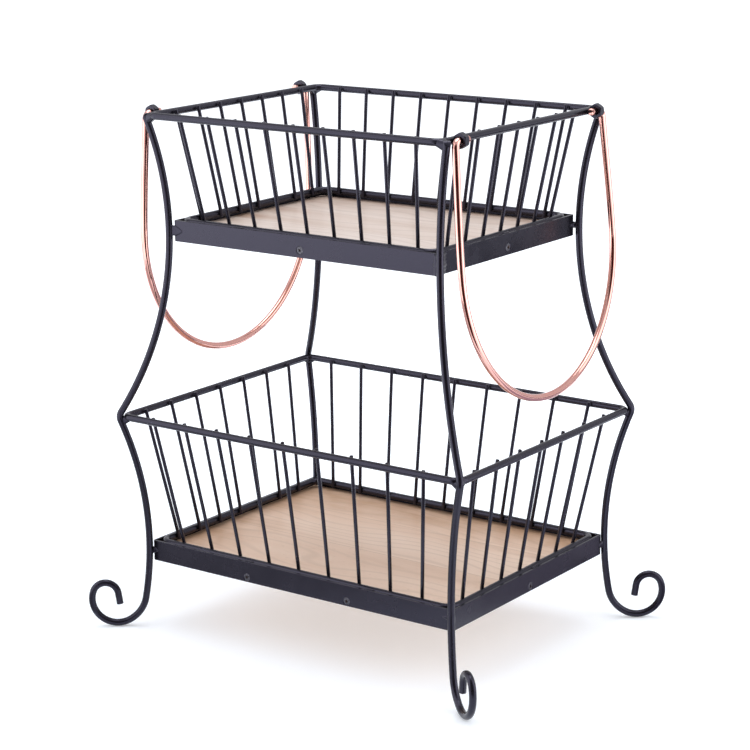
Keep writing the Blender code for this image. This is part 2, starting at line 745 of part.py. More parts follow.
black = new_material("black_powder_coat", (0.018, 0.018, 0.022), 0.42, 0.0)
steel = new_material("dark_screw_steel", (0.10, 0.10, 0.11), 0.35, 1.0)
copper = new_material("rose_gold", (0.72, 0.40, 0.30), 0.16, 1.0)
pale_wood = new_material("pale_board", (0.74, 0.66, 0.60), 0.55, 0.0)
tan_wood = new_material("tan_board", (0.66, 0.50, 0.40), 0.55, 0.0)

layout = leg_layout()
leg_top_cutter = add_top_cutter()
add_legs()
add_rim("upper_rim", UPPER_RIM_LENGTH, UPPER_RIM_WIDTH, UPPER_RIM_Z)
add_rim("lower_rim", LOWER_RIM_LENGTH, LOWER_RIM_WIDTH, LOWER_RIM_HEIGHT)
add_tier("upper", upper_tier())
add_tier("lower", lower_tier())
for nut_name, (nut_x, nut_y) in CORNERS.items():
    add_nut("nut_" + nut_name, nut_x, nut_y)
add_handle("left_handle", -1, LEFT_HANDLE_SWING)
add_handle("right_handle", 1, RIGHT_HANDLE_SWING)
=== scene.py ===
import math

import bmesh
import bpy
from mathutils import Matrix, Vector


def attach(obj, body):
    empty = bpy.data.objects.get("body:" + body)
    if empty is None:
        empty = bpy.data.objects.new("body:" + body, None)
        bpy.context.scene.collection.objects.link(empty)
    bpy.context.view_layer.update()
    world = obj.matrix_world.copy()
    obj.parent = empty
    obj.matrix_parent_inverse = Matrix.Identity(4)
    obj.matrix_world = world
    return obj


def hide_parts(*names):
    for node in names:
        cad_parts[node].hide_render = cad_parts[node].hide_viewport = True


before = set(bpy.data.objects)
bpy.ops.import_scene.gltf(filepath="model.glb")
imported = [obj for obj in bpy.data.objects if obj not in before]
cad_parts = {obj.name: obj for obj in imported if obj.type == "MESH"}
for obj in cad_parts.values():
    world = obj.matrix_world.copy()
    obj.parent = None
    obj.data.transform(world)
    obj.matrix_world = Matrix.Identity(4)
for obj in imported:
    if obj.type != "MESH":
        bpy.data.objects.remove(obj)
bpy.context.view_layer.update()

# Legs: four lengths of round steel rod, each bent cold in one flat curve from the upper rim's corner, round
# a tight kink at the lower rim and down into a scroll foot. The top end is rounded over against the rim,
# and the whole frame is powder coated satin black after it has been welded.
ROD_DIAMETER = 0.00547
ROD_SIDES = 24
LEG_TURN = 37.1621
LEG_END_CENTRE = (0.1684, 0.4010)
LEG_END_ROUND = 0.0029
LEG_END_LEANS = (0, 25, 50, 75)
UPPER_BOW = (0.4157236, 0.3147106)
KINK = (0.1892014, 0.1700)
LOWER_BOW = (0.4387170, 0.0700229)
FOOT_LEAD = (0.2075046, 0.0280009)
FOOT = (0.2045, 0.02235)
CURL = (0.2135210, 0.0256334)
LEG_START_ANGLE = 158.95
UPPER_BOW_TURN = 212.5719 - LEG_START_ANGLE
KINK_TURN = 54.4071
LOWER_BOW_TURN = 32.1361
FOOT_LEAD_TURN = 51.6991
FOOT_TURN = 138.0
CURL_TURN = 152.0
BOW_RADIUS = 0.2610
CURL_TAIL = 0.0087
CURL_TAIL_ANGLE = 262.0
SMOOTH_ANGLE = math.radians(35)
SHARP_ANGLE = math.radians(50)
ROD_END_ROUND = 0.0005
MERGE_DISTANCE = 0.00001
COAT_DARK = (0.0048, 0.0045, 0.0066)
COAT_LIGHT = (0.0072, 0.0067, 0.0095)
COAT_GLOSS_TINT = (0.74, 0.70, 1.0)
CLOUD_SCALE = 38.0
DUST = (0.05, 0.05, 0.06)
DUST_SCALE = 210.0
DUST_EDGE = (0.10, 0.04)
DUST_STRENGTH = 0.05
CORNERS = {"front_right": (1, -1), "rear_right": (1, 1), "rear_left": (-1, 1), "front_left": (-1, -1)}


def node_adder(tree):
    """A quick way to add nodes, with their inputs given in order or by name: set, or joined to an output."""
    def add(kind, *in_order, **named):
        node = tree.nodes.new(kind)
        inputs = dict(enumerate(in_order))
        for key, value in named.items():
            if key.islower():
                setattr(node, key, value)
            else:
                inputs[key] = value
        for key, value in inputs.items():
            if isinstance(value, bpy.types.NodeSocket):
                tree.links.new(value, node.inputs[key])
            else:
                node.inputs[key].default_value = value
        return node

    return add


def node_maker(name):
    """A node material, its shader, a way to add nodes and a way to lay colour, gloss and relief on it."""
    material = bpy.data.materials.new(name)
    material.use_nodes = True
    tree = material.node_tree
    shader = tree.nodes["Principled BSDF"]
    add = node_adder(tree)

    def lay(colour, rough, relief, strength, depth):
        bump = add("ShaderNodeBump", Strength=strength, Distance=depth, Height=relief)
        tree.links.new(colour, shader.inputs["Base Color"])
        tree.links.new(rough, shader.inputs["Roughness"])
        tree.links.new(bump.outputs["Normal"], shader.inputs["Normal"])

    return material, shader, add, lay


def noise(add, place, scale, detail, **values):
    """Soft noise at a place."""
    return add("ShaderNodeTexNoise", Vector=place, Scale=scale, Detail=detail, **values).outputs["Fac"]


def mapped(add, source, *limits):
    """A value brought from one range to another."""
    return add("ShaderNodeMapRange", source, *limits).outputs["Result"]


def worked(add, operation, *values):
    """A sum, product or other result of some values."""
    return add("ShaderNodeMath", *values, operation=operation).outputs[0]


def colour_ramp(add, factor, stops):
    """The colour that a factor picks between the given places and colours."""
    ramp = add("ShaderNodeValToRGB", factor)
    elements = ramp.color_ramp.elements
    while len(elements) < len(stops):
        elements.new(0.5)
    for element, (place, colour) in zip(elements, stops):
        element.position = place
        element.color = (*colour, 1)
    return ramp.outputs["Color"]


def powder_coat(name, grain_scale, grain_depth, rough_low, rough_high):
    """Satin powder coat: near black with a blue cast, a fine orange peel and a few pale specks of dust."""
    material, shader, add, lay = node_maker(name)
    shader.inputs["Specular Tint"].default_value = (*COAT_GLOSS_TINT, 1)
    place = add("ShaderNodeTexCoord").outputs["Object"]
    cloud = noise(add, place, CLOUD_SCALE, 4.0, Roughness=0.6)
    tone = colour_ramp(add, cloud, [(0.35, COAT_DARK), (0.7, COAT_LIGHT)])
    specks = add("ShaderNodeTexVoronoi", Vector=place, Scale=DUST_SCALE)
    speck = worked(add, "MULTIPLY", mapped(add, specks.outputs["Distance"], *DUST_EDGE), DUST_STRENGTH)
    speckled = add("ShaderNodeMix", data_type="RGBA", Factor=speck, A=tone, B=(*DUST, 1))
    peel = noise(add, place, grain_scale, 3.0, Roughness=0.55)
    rough = mapped(add, cloud, 0.3, 0.7, rough_low, rough_high)
    lay(speckled.outputs["Result"], rough, peel, 0.2, grain_depth)
    return material


def round_edges(piece, width, segments, sharp_angle=SHARP_ANGLE):
    """Round or chamfer the edges that turn more than the sharp angle."""
    bpy.ops.object.modifier_add(type="BEVEL")
    bevel = piece.modifiers[-1]
    bevel.width = width
    bevel.segments = segments
    bevel.limit_method = "ANGLE"
    bevel.angle_limit = sharp_angle
    bpy.ops.object.modifier_apply(modifier=bevel.name)


def start_ring(name, diameter, place, facing):
    """A ring of the rod's size, standing square to the way that the rod sets off."""
    bpy.ops.object.select_all(action="DESELECT")
    turn = Vector(facing).to_track_quat("Z", "Y").to_euler()
    bpy.ops.mesh.primitive_circle_add(vertices=ROD_SIDES, radius=diameter / 2, location=place, rotation=turn)
    rod = bpy.context.object
    rod.name = rod.data.name = name
    bpy.ops.object.transform_apply(location=True, rotation=True, scale=True)
    bpy.ops.object.mode_set(mode="EDIT")
    bpy.ops.mesh.select_all(action="SELECT")
    return rod


def run_straight(step):
    """Pull the selected ring along in a straight line."""
    bpy.ops.mesh.extrude_region_move(TRANSFORM_OT_translate={"value": step})


def bend_round(centre, axis, degrees, steps):
    """Pull the selected ring round a former that stands at a centre."""
    bpy.ops.mesh.spin(steps=steps, angle=math.radians(-degrees), center=centre, axis=axis)


def close_rod(rod, end_round=0.0):
    """Merge the rings, close open ends and round their edges."""
    bpy.ops.mesh.select_all(action="SELECT")
    bpy.ops.mesh.remove_doubles(threshold=MERGE_DISTANCE)
    bpy.ops.mesh.fill_holes(sides=0)
    bpy.ops.mesh.select_all(action="SELECT")
    bpy.ops.mesh.normals_make_consistent(inside=False)
    bpy.ops.object.mode_set(mode="OBJECT")
    if end_round:
        round_edges(rod, end_round, 3)
    bpy.ops.object.shade_smooth_by_angle(angle=SMOOTH_ANGLE)


def copy_turned(piece, name, matrix):
    """A copy with its own mesh, set in its place; a mirrored one has its faces turned outward again."""
    copy = piece.copy()
    copy.data = piece.data.copy()
    copy.name = copy.data.name = name
    bpy.context.scene.collection.objects.link(copy)
    copy.data.transform(matrix)
    if matrix.determinant() < 0:
        copy.data.flip_normals()
    return copy


black_coat = powder_coat("satin_black_powder_coat", 950.0, 0.00003, 0.22, 0.30)
leg_start = (
    UPPER_BOW[0] + BOW_RADIUS * math.cos(math.radians(LEG_START_ANGLE)), 0,
    UPPER_BOW[1] + BOW_RADIUS * math.sin(math.radians(LEG_START_ANGLE)),
)
leg_facing = (-math.sin(math.radians(LEG_START_ANGLE)), 0, math.cos(math.radians(LEG_START_ANGLE)))
leg = start_ring("leg_pattern", ROD_DIAMETER, leg_start, leg_facing)
for (out, up), turn, steps in (
    (UPPER_BOW, UPPER_BOW_TURN, 44), (KINK, -KINK_TURN, 20), (LOWER_BOW, LOWER_BOW_TURN, 28),
    (FOOT_LEAD, FOOT_LEAD_TURN, 18), (FOOT, FOOT_TURN, 44), (CURL, CURL_TURN, 44),
):
    bend_round((out, 0, up), (0, -1, 0), turn, steps)
tail_angle = math.radians(CURL_TAIL_ANGLE)
run_straight((CURL_TAIL * math.cos(tail_angle), 0, CURL_TAIL * math.sin(tail_angle)))
for lean in LEG_END_LEANS:
    off = (math.sin(math.radians(lean)), 0, math.cos(math.radians(lean)))
    level = (LEG_END_CENTRE[0] + LEG_END_ROUND * off[0], 0, LEG_END_CENTRE[1] + LEG_END_ROUND * off[2])
    bpy.ops.mesh.select_all(action="SELECT")
    bpy.ops.mesh.bisect(plane_co=level, plane_no=off, clear_outer=True, use_fill=True)
close_rod(leg, ROD_END_ROUND)
leg.data.materials.append(black_coat)
for corner, (x, y) in CORNERS.items():
    angle = math.atan2(y * math.sin(math.radians(LEG_TURN)), x * math.cos(math.radians(LEG_TURN)))
    piece = copy_turned(leg, "dressed_leg_" + corner, Matrix.Rotation(angle, 4, "Z"))
    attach(piece, "frame")
    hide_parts("leg_" + corner)
bpy.data.objects.remove(leg)

# Rims: the same rod bent round four small corners into a closed rectangle, its butt joint welded and ground
# flush. The larger one lies in the legs' kinks, the smaller one is level with their tops.
RIM_CORNER_RADIUS = 0.0070
UPPER_RIM = (0.2616, 0.2066, 0.40225)
LOWER_RIM = (0.3102, 0.2336, 0.1700)


def bend_rectangle(half_length, half_width, radius, height, steps, start=0, end=0):
    """Carry the selected ring from start on the right side round all four corners and back up to end."""
    along = half_length - radius
    across = half_width - radius
    upright = (0, 0, 1)
    run_straight((0, across - start, 0))
    bend_round((along, across, height), upright, 90, steps)
    run_straight((-2 * along, 0, 0))
    bend_round((-along, across, height), upright, 90, steps)
    run_straight((0, -2 * across, 0))
    bend_round((-along, -across, height), upright, 90, steps)
    run_straight((2 * along, 0, 0))
    bend_round((along, -across, height), upright, 90, steps)
    run_straight((0, across + end, 0))


for tier, (length, width, height) in (("upper", UPPER_RIM), ("lower", LOWER_RIM)):
    rim = start_ring("dressed_" + tier + "_rim", ROD_DIAMETER, (length / 2, 0, height), (0, 1, 0))
    bend_rectangle(length / 2, width / 2, RIM_CORNER_RADIUS, height, 14)
    close_rod(rim)
    rim.data.materials.append(black_coat)
    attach(rim, "frame")
    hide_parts(tier + "_rim")

# Corner welds: weld metal runs from the rim's underside down to the leg on both sides of each corner, and
# is coated with the rest. It is a little lumpy, and fills the angle like a small web. At the upper rim it
# also caps the leg's end.
WEB_RUN = 0.0046
WEB_SPREAD = 0.0030
WEB_DROP = 0.0054
WEB_ROOT_DROP = 0.0012
WEB_THICKNESS = 0.0014
WEB_HEART = (0.0017, 0.0017, 0.0020)
UPPER_LEG_OUT = 0.1692
LOWER_LEG_OUT = 0.1961
UPPER_FOOT_BACK = 0.0020
LOWER_FOOT_BACK = 0.0012
CAP_ON_LEG = ((0.1686, 0.0010, 0.0026), (0.1682, 0.0038, 0.0027))
CAP_ON_RIM = (0.0026, 0.0026, 0.0027)
CAP_BACKS = (0.0008, 0.0040)
CAP_REACH = 0.0048
WELD_GRAIN = 0.00030


def on_leg_line(out):
    """The place in plan, on the front right leg's line, that lies so far out from the middle."""
    return out * math.cos(math.radians(LEG_TURN)), out * math.sin(math.radians(LEG_TURN))


def join_up(pieces):
    """Join some pieces into one."""
    bpy.ops.object.select_all(action="DESELECT")
    for piece in pieces:
        piece.select_set(True)
    bpy.context.view_layer.objects.active = pieces[0]
    if len(pieces) > 1:
        bpy.ops.object.join()
    return bpy.context.object


def weld_metal(name, lumps):
    """Lumps of weld metal run into one another: each lump is the skin round a few balls."""
    shells = []
    for balls in lumps:
        skin = []
        for place, size in balls:
            bpy.ops.object.select_all(action="DESELECT")
            bpy.ops.mesh.primitive_uv_sphere_add(
                segments=20, ring_count=12, radius=1, location=place, scale=size
            )
            bpy.ops.object.transform_apply(location=True, rotation=True, scale=True)
            skin.append(bpy.context.object)
        shells.append(join_up(skin))
        if len(balls) > 1:
            bpy.ops.object.mode_set(mode="EDIT")
            bpy.ops.mesh.select_all(action="SELECT")
            bpy.ops.mesh.convex_hull()
            bpy.ops.object.mode_set(mode="OBJECT")
    bead = join_up(shells)
    bead.name = bead.data.name = name
    bpy.ops.object.modifier_add(type="REMESH")
    bead.modifiers[-1].mode = "VOXEL"
    bead.modifiers[-1].voxel_size = WELD_GRAIN
    bpy.ops.object.modifier_apply(modifier=bead.modifiers[-1].name)
    bpy.ops.object.modifier_add(type="SMOOTH")
    bead.modifiers[-1].factor = 0.5
    bead.modifiers[-1].iterations = 6
    bpy.ops.object.modifier_apply(modifier=bead.modifiers[-1].name)
    bpy.ops.object.shade_smooth()
    bead.data.materials.append(weld_coat)
    return bead


weld_coat = powder_coat("coated_weld_metal", 620.0, 0.00008, 0.24, 0.34)
for tier, (length, width, height), leg_out, foot_back in (
    ("upper", UPPER_RIM, UPPER_LEG_OUT, UPPER_FOOT_BACK),
    ("lower", LOWER_RIM, LOWER_LEG_OUT, LOWER_FOOT_BACK),
):
    leg_x, leg_y = on_leg_line(leg_out)
    side_x = length / 2
    side_y = width / 2
    low = height - WEB_ROOT_DROP
    foot_x, foot_y = on_leg_line(leg_out - foot_back)
    thick = 3 * (WEB_THICKNESS,)
    lumps = []
    for root in (
        (side_x, leg_y - WEB_RUN - WEB_SPREAD, low), (leg_x - WEB_RUN - WEB_SPREAD, side_y, low),
    ):
        lumps.append([
            (root, thick), ((foot_x, foot_y, height - WEB_DROP), thick),
            (((side_x + leg_x) / 2, (side_y + leg_y) / 2, low), WEB_HEART),
        ])
    if tier == "upper":
        cap = [((*on_leg_line(out), height - drop), 3 * (size,)) for out, drop, size in CAP_ON_LEG]
        for back in CAP_BACKS:
            cap.append(((side_x - back, side_y - CAP_REACH + back, height), CAP_ON_RIM))
        lumps.append(cap)
    pattern = weld_metal("corner_weld_pattern", lumps)
    for corner, (x, y) in CORNERS.items():
        piece = copy_turned(pattern, tier + "_corner_weld_" + corner, Matrix.Diagonal((x, y, 1, 1)))
        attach(piece, "frame")
    bpy.data.objects.remove(pattern)

# Bands: flat bar on edge, bent round the foot of each tier. Its ends meet on a short side, where the seam
# is welded and ground, and holes are sunk in it for the screws.
BAND_HEIGHT = 0.0160
BAND_THICKNESS = 0.0020
BAND_CORNER_RADIUS = 0.0022
BAND_EDGE_ROUND = 0.0003
UPPER_BAND = (0.2394486, 0.1851643, 0.3230)
LOWER_BAND = (0.2821085, 0.2088609, 0.0696)
SEAM_PLACE = 0.0339
SEAM_HALF_WIDTH = 0.0005
SEAM_DEPTH = 0.00012
SCREW_HEAD_DIAMETER = 0.0058
SCREW_HOLE_PLAY = 0.0003
SINK_DEPTH = 0.0018
SINK_OVERRUN = 0.0005
UPPER_SCREW_HEIGHT = 0.0056
LOWER_SCREW_HEIGHT = 0.0038
SIDES = {"front": (0, -1), "right": (1, 0), "rear": (0, 1), "left": (-1, 0)}


def side_place(side, along, out, height):
    """A point given along and out from one side of the basket."""
    x, y = SIDES[side]
    return Vector((out * x - along * y, out * y + along * x, height))


def screw_places(tier):
    """Name, side and head centre of each screw of a tier."""
    length, width, top = UPPER_BAND if tier == "upper" else LOWER_BAND
    if tier == "upper":
        plan = [(side, side, 0) for side in SIDES]
        height = top - BAND_HEIGHT + UPPER_SCREW_HEIGHT
    else:
        third = length / 6
        plan = [
            ("front_left", "front", -third), ("front_right", "front", third),
            ("rear_right", "rear", -third), ("rear_left", "rear", third),
            ("right", "right", 0), ("left", "left", 0),
        ]
        height = top - BAND_HEIGHT + LOWER_SCREW_HEIGHT
    places = []
    for name, side, along in plan:
        out = (width if side in ("front", "rear") else length) / 2
        places.append((name, side, side_place(side, along, out, height)))
    return places


def cut_away(piece, tools):
    """Cut a piece with tools that are then thrown away; a tool's own finish stays on the cut."""
    bpy.context.view_layer.objects.active = piece
    for tool in tools:
        boolean = piece.modifiers.new("cut", "BOOLEAN")
        boolean.operation = "DIFFERENCE"
        boolean.solver = "EXACT"
        boolean.material_mode = "TRANSFER"
        boolean.object = tool
        bpy.ops.object.modifier_apply(modifier=boolean.name)
        bpy.data.objects.remove(tool)


def even_shading(piece):
    """Smooth the round edges and keep the broad faces evenly shaded."""
    bpy.ops.object.shade_smooth_by_angle(angle=SMOOTH_ANGLE)
    bpy.ops.object.modifier_add(type="WEIGHTED_NORMAL")
    piece.modifiers[-1].keep_sharp = True
    bpy.ops.object.modifier_apply(modifier=piece.modifiers[-1].name)


for tier, (length, width, top) in (("upper", UPPER_BAND), ("lower", LOWER_BAND)):
    height = top - BAND_HEIGHT / 2
    middle = length / 2 - BAND_THICKNESS / 2
    bpy.ops.object.select_all(action="DESELECT")
    seam = (middle, SEAM_PLACE, height)
    bpy.ops.mesh.primitive_plane_add(size=1, location=seam, rotation=(math.pi / 2, 0, 0))
    band = bpy.context.object
    band.name = band.data.name = "dressed_" + tier + "_band"
    band.scale = (BAND_THICKNESS, BAND_HEIGHT, 1)
    bpy.ops.object.transform_apply(location=True, rotation=True, scale=True)
    bpy.ops.object.mode_set(mode="EDIT")
    bpy.ops.mesh.select_all(action="SELECT")
    bpy.ops.mesh.bevel(offset=BAND_EDGE_ROUND, segments=3, affect="VERTICES")
    bpy.ops.mesh.delete(type="ONLY_FACE")
    bpy.ops.mesh.select_all(action="SELECT")
    shrink = 1 - 2 * SEAM_DEPTH / BAND_THICKNESS
    bpy.ops.transform.resize(value=(shrink, 1, 1), center_override=seam)
    run_straight((0, SEAM_HALF_WIDTH, 0))
    ring_centre = (middle, SEAM_PLACE + SEAM_HALF_WIDTH, height)
    bpy.ops.transform.resize(value=(1 / shrink, 1, 1), center_override=ring_centre)
    bend_rectangle(length / 2, width / 2, BAND_CORNER_RADIUS, height, 8,
                   start=SEAM_PLACE + SEAM_HALF_WIDTH, end=SEAM_PLACE - SEAM_HALF_WIDTH)
    run_straight((0, SEAM_HALF_WIDTH, 0))
    bpy.ops.transform.resize(value=(shrink, 1, 1), center_override=seam)
    close_rod(band)
    band.data.materials.append(black_coat)
    if tier == "lower":
        band.data.transform(Matrix.Rotation(math.pi, 4, "Z"))
    holes = []
    for name, side, place in screw_places(tier):
        wide = SCREW_HEAD_DIAMETER / 2 + SCREW_HOLE_PLAY
        facing = Vector((*SIDES[side], 0))
        bpy.ops.object.select_all(action="DESELECT")
        bpy.ops.mesh.primitive_cone_add(
            vertices=40, radius1=wide - SINK_DEPTH, radius2=wide + SINK_OVERRUN,
            depth=SINK_DEPTH + SINK_OVERRUN,
            location=place + facing * (SINK_OVERRUN - SINK_DEPTH) / 2,
            rotation=facing.to_track_quat("Z", "Y").to_euler(),
        )
        hole = bpy.context.object
        hole.data.materials.append(black_coat)
        holes.append(hole)
    bpy.ops.object.select_all(action="DESELECT")
    band.select_set(True)
    cut_away(band, holes)
    even_shading(band)
    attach(band, "frame")
    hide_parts(tier + "_band")

# Band welds: where each leg passes a band's corner, weld metal bridges the narrow space between them and
# runs onto both faces of the band, in a smooth tongue or in a row of scallops. No two are quite alike.
# Each has its reach and half height along the long side and round the short one, its rise and its beads.
UPPER_LEG_PLACE = (0.1233039, 0.0934643)
LOWER_LEG_PLACE = (0.1417363, 0.1074360)
BAND_WELDS = {
    "upper_weld_front_left": (0.0080, 0.0048, 0.0022, 0.0028, 0.0002, 0),
    "upper_weld_front_right": (0.0030, 0.0030, 0.0094, 0.0064, -0.0002, 6),
    "upper_weld_rear_right": (0.0042, 0.0030, 0.0040, 0.0029, 0.0000, 0),
    "upper_weld_rear_left": (0.0050, 0.0034, 0.0034, 0.0036, 0.0005, 0),
    "lower_weld_front_left": (0.0054, 0.0032, 0.0026, 0.0030, 0.0004, 0),
    "lower_weld_front_right": (0.0082, 0.0026, 0.0020, 0.0044, 0.0016, 0),
    "lower_weld_rear_right": (0.0044, 0.0034, 0.0034, 0.0035, -0.0003, 0),
    "lower_weld_rear_left": (0.0054, 0.0034, 0.0028, 0.0034, 0.0000, 0),
}
LONG_FACE_SHARE = 0.35
LONG_RIBS = ((-0.0013, 0.0001, 1.0, 0.0015), (-0.0009, 0.0002, 0.84, 0.0011),
             (0, -0.0003, 0.82, 0.0010), (0, -0.0004, 0.26, 0.0007))
SHORT_FACE_SHARE = 0.55
SHORT_RIBS = ((-0.0006, -0.0014, 1.0, 0.0015), (-0.0002, -0.0012, 0.62, 0.0012),
              (0, 0, 0.58, 0.0010), (-0.0003, -0.0010, 0.24, 0.0007))
LEAST_HALF = 0.0001
FILLER_BACKS = (0.0022, 0.0038)
FILLER_OUT = 0.0006
FILLER_HALF = 0.0068
FILLER_SIZE = (0.0015, 0.0013, 0.0010)
BEAD_SIZE = 0.0013
BEAD_VARIES = 0.0002
THIRD_BEAD_SWELL = 0.0006
BEAD_HALF_HEIGHT = 0.0014
BEAD_ROOT = (0.0010, -0.0030)
BEAD_TIP_SINK = 0.0001
BEAD_TIP_THICKNESS = 0.0010
BEAD_TIP_SHARE = 0.6

for node, (long_reach, long_half, short_reach, short_half, rise, beads) in BAND_WELDS.items():
    upper = node.startswith("upper")
    length, width, top = UPPER_BAND if upper else LOWER_BAND
    leg_x, leg_y = UPPER_LEG_PLACE if upper else LOWER_LEG_PLACE
    edge_x = length / 2
    edge_y = width / 2
    middle = top - BAND_HEIGHT / 2 + rise
    between_x = (leg_x + edge_x) / 2
    long_places = (
        (leg_x, leg_y), (between_x, edge_y),
        (edge_x - LONG_FACE_SHARE * long_reach, edge_y), (edge_x - long_reach, edge_y),
    )
    short_places = (
        (leg_x, leg_y), (between_x, edge_y),
        (edge_x, edge_y - SHORT_FACE_SHARE * short_reach), (edge_x, edge_y - short_reach),
    )
    lumps = []
    for ribs, half, places in (
        (LONG_RIBS, long_half, long_places), (SHORT_RIBS, short_half, short_places),
    ):
        stations = []
        for (x, y), (shift_x, shift_y, share, size) in zip(places, ribs):
            spread = max(share * half - size, LEAST_HALF)
            stations.append([
                ((x + shift_x, y + shift_y, middle + side * spread), 3 * (size,)) for side in (-1, 1)
            ])
        lumps += [this + following for this, following in zip(stations, stations[1:])]
    if beads:
        lumps.append([
            ((leg_x - back, edge_y + FILLER_OUT, middle + side * FILLER_HALF), FILLER_SIZE)
            for back in FILLER_BACKS for side in (-1, 1)
        ])
    for bead in range(beads):
        share = 2 * bead / (beads - 1) - 1
        size = BEAD_SIZE + BEAD_VARIES * (bead % 2) + THIRD_BEAD_SWELL * (bead == 2)
        level = middle + share * short_half
        tip = edge_y - short_reach - BEAD_TIP_SHARE * size
        lumps.append([
            ((edge_x + BEAD_ROOT[0], edge_y + BEAD_ROOT[1], level), (size, size, BEAD_HALF_HEIGHT)),
            ((edge_x - BEAD_TIP_SINK, tip, level), (BEAD_TIP_THICKNESS, size, BEAD_HALF_HEIGHT)),
        ])
    pattern = weld_metal("band_weld_pattern", lumps)
    corner = node[len("upper_weld_"):]
    x, y = CORNERS[corner]
    piece = copy_turned(pattern, "dressed_" + node, Matrix.Diagonal((x, y, 1, 1)))
    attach(piece, "frame")
    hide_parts(node)
    bpy.data.objects.remove(pattern)

# Base rods: a closed rectangle of rod lies inside each band just above the board, tacked to the band's top
# edge with short beads. The upright wires are welded to its outer side.
BASE_ROD_CORNER_RADIUS = 0.0090
UPPER_BASE_ROD = (0.1146743, 0.0875321, 0.32175)
LOWER_BASE_ROD = (0.1360042, 0.0993805, 0.06835)
UPPER_TACKS = [
    ("front", -0.058), ("front", 0.057), ("rear", -0.057), ("rear", 0.058), ("right", 0), ("left", 0),
]
LOWER_TACKS = [
    ("front", -0.046), ("front", 0.067), ("rear", -0.062), ("rear", 0.056), ("right", 0.0087),
    ("left", -0.006),
]
TACK_HALF_LENGTH = 0.0018
TACK_HALF_WIDTH = 0.0012
TACK_HALF_HEIGHT = 0.0006
TACK_STEP = 0.0022
TACK_PLAY = 0.0001

for tier, (half_length, half_width, height), (length, width, top), tacks in (
    ("upper", UPPER_BASE_ROD, UPPER_BAND, UPPER_TACKS), ("lower", LOWER_BASE_ROD, LOWER_BAND, LOWER_TACKS),
):
    base_rod = start_ring(tier + "_base_rod", ROD_DIAMETER, (half_length, 0, height), (0, 1, 0))
    bend_rectangle(half_length, half_width, BASE_ROD_CORNER_RADIUS, height, 14)
    close_rod(base_rod)
    base_rod.data.materials.append(black_coat)
    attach(base_rod, "frame")
    for number, (side, along) in enumerate(tacks):
        on_long_side = side in ("front", "rear")
        out = (width if on_long_side else length) / 2 - BAND_THICKNESS - TACK_PLAY
        size = (TACK_HALF_LENGTH, TACK_HALF_WIDTH, TACK_HALF_HEIGHT)
        if not on_long_side:
            size = (TACK_HALF_WIDTH, TACK_HALF_LENGTH, TACK_HALF_HEIGHT)
        lumps = []
        for step in (-1, 0, 1):
            place = side_place(side, along + step * TACK_STEP, out, top + TACK_PLAY)
            lumps.append([(tuple(place), size)])
        tack = weld_metal(tier + "_tack_" + side + "_" + str(number), lumps)
        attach(tack, "frame")

# Wires: thin straight wire, cut to length and spot welded inside the rim and outside the base rod, nine on
# a long side and seven on a short one. A row has its side and count, how far out its feet and tips stand,
# the half widths that they spread over and its shift along the side. A small bead sits at each weld.
WIRE_DIAMETER = 0.0028
WIRE_SIDES = 16
WIRE_TIP_ROUND = 0.0004
LONG_WIRES = 9
SHORT_WIRES = 7
UPPER_WIRE_HEIGHTS = (0.31975, 0.4043)
LOWER_WIRE_HEIGHTS = (0.06635, 0.17205)
WIRE_ROWS = {
    "upper_wires_front": ("front", LONG_WIRES, 0.08345, 0.09915, 0.09690, 0.10622, 0.0010),
    "upper_wires_right": ("right", SHORT_WIRES, 0.11058, 0.12666, 0.06895, 0.07723, 0.0020),
    "upper_wires_rear": ("rear", LONG_WIRES, 0.08345, 0.09915, 0.09690, 0.10622, -0.0012),
    "upper_wires_left": ("left", SHORT_WIRES, 0.11058, 0.12666, 0.06895, 0.07723, 0.0005),
    "lower_wires_front": ("front", LONG_WIRES, 0.09536, 0.11263, 0.11189, 0.12544, -0.0035),
    "lower_wires_right": ("right", SHORT_WIRES, 0.13194, 0.15095, 0.07673, 0.08982, -0.0022),
    "lower_wires_rear": ("rear", LONG_WIRES, 0.09536, 0.11263, 0.11189, 0.12544, 0.0025),
    "lower_wires_left": ("left", SHORT_WIRES, 0.13194, 0.15095, 0.07673, 0.08982, 0.0062),
}
SPOT_SIZE = (0.0019, 0.0010, 0.0015)
SPOT_SINK_SHARE = 0.25

